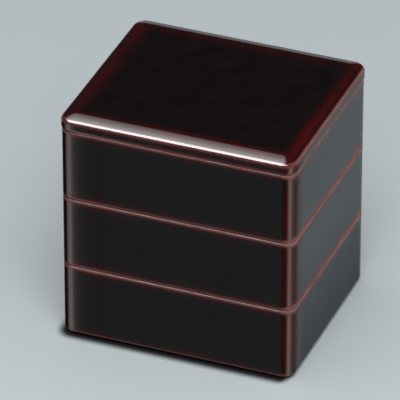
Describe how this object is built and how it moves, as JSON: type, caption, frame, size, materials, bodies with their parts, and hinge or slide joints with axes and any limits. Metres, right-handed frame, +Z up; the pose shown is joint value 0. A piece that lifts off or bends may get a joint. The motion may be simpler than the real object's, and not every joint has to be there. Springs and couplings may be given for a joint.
{
  "type": "stacking lacquer food box",
  "caption": "Oblong wood-cored lacquer food box of stacking tiers; each tier's step and the bevelled lid's lip drop into the mouth below, and each lifts off by hand.",
  "frame": {"origin": "on the surface that the box stands on, under the middle of the box", "axes": "+Z up, -Y out of the long front that the camera sees, +X to the right of that front"},
  "size_m": [0.1962, 0.1682, 0.2016],
  "materials": {
    "outer_lacquer": "glossy dark red-brown lacquer over a wood core, redder where it thins at the edges",
    "lid_lacquer": "glossy dark red-brown lacquer over a wood core, redder towards the lid's edges",
    "inner_lacquer": "satin vermilion lacquer",
    "step_lacquer": "satin near-black lacquer",
    "peg_bamboo": "bare bamboo, covered by the lacquer ground"
  },
  "bodies": {
    "bottom_tier": {"bottom_front_board": "outer_lacquer", "bottom_right_board": "outer_lacquer", "bottom_back_board": "outer_lacquer", "bottom_left_board": "outer_lacquer", "bottom_base_board": "inner_lacquer", "bottom_base_pegs": "peg_bamboo", "bottom_front_step": "step_lacquer", "bottom_right_step": "step_lacquer", "bottom_back_step": "step_lacquer", "bottom_left_step": "step_lacquer"},
    "middle_tier": {"middle_front_board": "outer_lacquer", "middle_right_board": "outer_lacquer", "middle_back_board": "outer_lacquer", "middle_left_board": "outer_lacquer", "middle_base_board": "inner_lacquer", "middle_base_pegs": "peg_bamboo", "middle_front_step": "step_lacquer", "middle_right_step": "step_lacquer", "middle_back_step": "step_lacquer", "middle_left_step": "step_lacquer"},
    "top_tier": {"top_front_board": "outer_lacquer", "top_right_board": "outer_lacquer", "top_back_board": "outer_lacquer", "top_left_board": "outer_lacquer", "top_base_board": "inner_lacquer", "top_base_pegs": "peg_bamboo", "top_front_step": "step_lacquer", "top_right_step": "step_lacquer", "top_back_step": "step_lacquer", "top_left_step": "step_lacquer"},
    "lid": {"lid_panel": "lid_lacquer", "lid_front_rail": "lid_lacquer", "lid_right_rail": "lid_lacquer", "lid_back_rail": "lid_lacquer", "lid_left_rail": "lid_lacquer", "lid_front_lip": "step_lacquer", "lid_right_lip": "step_lacquer", "lid_back_lip": "step_lacquer", "lid_left_lip": "step_lacquer"}
  },
  "joints": [
    {"name": "middle_tier_lift", "type": "slide", "parent": "bottom_tier", "child": "middle_tier", "axis": [0, 0, 1], "range_m": [0, 0.09]},
    {"name": "top_tier_lift", "type": "slide", "parent": "middle_tier", "child": "top_tier", "axis": [0, 0, 1], "range_m": [0, 0.09]},
    {"name": "lid_lift", "type": "slide", "parent": "top_tier", "child": "lid", "axis": [0, 0, 1], "range_m": [0, 0.09]}
  ]
}
